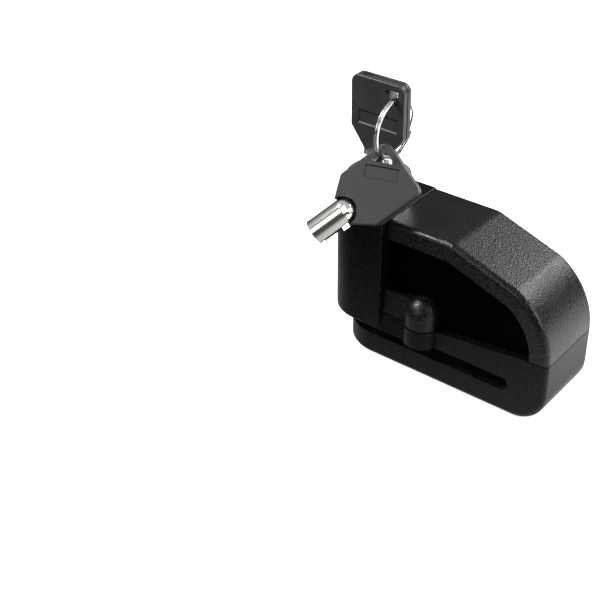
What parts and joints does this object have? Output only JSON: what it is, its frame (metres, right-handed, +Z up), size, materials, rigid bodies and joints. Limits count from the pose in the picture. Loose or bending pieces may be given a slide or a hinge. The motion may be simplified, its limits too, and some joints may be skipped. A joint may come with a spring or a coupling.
{
  "type": "disc brake lock with alarm",
  "caption": "Motorcycle disc brake lock with siren: slotted cast body, spring plunger, tubular key cylinder, inserted key, split ring and spare key.",
  "frame": {"origin": "on the flat underside the lock stands on, 46.5 mm from the closed end and 15.5 mm behind the front face, near the middle of the body", "axes": "+Z up, along the plunger's travel out of the lock; +X along the disc slot towards its closed end; +Y from the side with the arched recess and screw boss to the flat back"},
  "size_m": [0.0945, 0.0516, 0.1059],
  "materials": {
    "body_paint": "satin, fine sand texture",
    "cover_paint": "satin, fine sand texture",
    "panel": "smooth satin black",
    "seal_rubber": "matt",
    "black_screw": "black oxide",
    "zinc_screw": "zinc plated",
    "board_green": "solder mask",
    "chip_black": "moulded",
    "ferrite": "matt ferrite",
    "sensor_can": "satin",
    "switch_plastic": "moulded",
    "button_red": "moulded",
    "cell_steel": "nickel plated",
    "diaphragm_brass": "satin",
    "wire_red": "insulated",
    "spring_steel": "bright",
    "plunger_chrome": "polished",
    "guide_steel": "turned",
    "lock_brass": "machined",
    "hard_steel": "ground",
    "key_plastic": "fine satin moulding",
    "key_chrome": "nickel plated",
    "ring_nickel": "nickel plated"
  },
  "bodies": {
    "lock": {"lock_body": "body_paint", "siren_cover": "cover_paint", "front_panel": "panel", "cover_gasket": "seal_rubber", "front_cover_screw": "black_screw", "rear_cover_screw": "black_screw", "circuit_board": "board_green", "board_screws": "zinc_screw", "control_chip": "chip_black", "step_up_coil": "ferrite", "shock_sensor": "sensor_can", "micro_switch": "switch_plastic", "battery_tray": "switch_plastic", "coin_cells": "cell_steel", "battery_contact_plus": "cell_steel", "battery_contact_minus": "cell_steel", "siren_housing": "switch_plastic", "siren_diaphragm": "diaphragm_brass", "siren_leads": "wire_red", "bore_o_ring": "seal_rubber", "travel_stop_screw": "black_screw", "return_spring": "spring_steel"},
    "plunger": {"plunger_sleeve": "plunger_chrome", "key_guide": "guide_steel", "pin_stator": "lock_brass", "driver_pins": "lock_brass", "tumbler_springs": "spring_steel", "pin_carrier": "guide_steel", "locking_pin": "hard_steel"},
    "core": {"core_spindle": "lock_brass", "key_pins": "lock_brass", "latch_cam": "lock_brass"},
    "latch": {"latch_bolt": "guide_steel"},
    "switch": {"switch_button": "button_red"},
    "key": {"key_head": "key_plastic", "key_tube": "key_chrome"},
    "ring": {"split_ring": "ring_nickel"},
    "spare_key": {"spare_key_head": "key_plastic", "spare_key_tube": "key_chrome"}
  },
  "joints": [
    {"name": "plunger_slide", "type": "slide", "parent": "lock", "child": "plunger", "axis": [0, 0, 1], "range_m": [-0.01, 0], "stiffness_N_per_m": 400, "springref_m": 0.012, "deforming": ["return_spring"]},
    {"name": "core_turn", "type": "hinge", "parent": "plunger", "child": "core", "pos_m": [-0.034, -0.0025, 0.064], "axis": [0, 0, -1], "range_deg": [0, 90]},
    {"name": "latch_slide", "type": "slide", "parent": "plunger", "child": "latch", "axis": [-1, 0, 0], "range_m": [0, 0.0013]},
    {"name": "key_pull", "type": "slide", "parent": "core", "child": "key", "axis": [0, 0, 1], "range_m": [0, 0.01]},
    {"name": "ring_turn", "type": "hinge", "parent": "key", "child": "ring", "pos_m": [-0.02623, -0.00494, 0.08992], "axis": [-1, 0, 0], "range_deg": [0, 60]},
    {"name": "spare_key_swing", "type": "hinge", "parent": "ring", "child": "spare_key", "pos_m": [-0.02623, -0.01086, 0.08081], "axis": [0, 0.8385, -0.5449], "range_deg": [-40, 20]},
    {"name": "switch_press", "type": "slide", "parent": "lock", "child": "switch", "axis": [1, 0, 0], "range_m": [0, 0.001]}
  ],
  "couplings": [
    {"joint": "latch_slide", "follows": "core_turn", "m_per_rad": 0.000827},
    {"joint": "key_pull", "follows": "plunger_slide", "ratio": -1},
    {"joint": "switch_press", "follows": "plunger_slide", "ratio": -0.1}
  ]
}
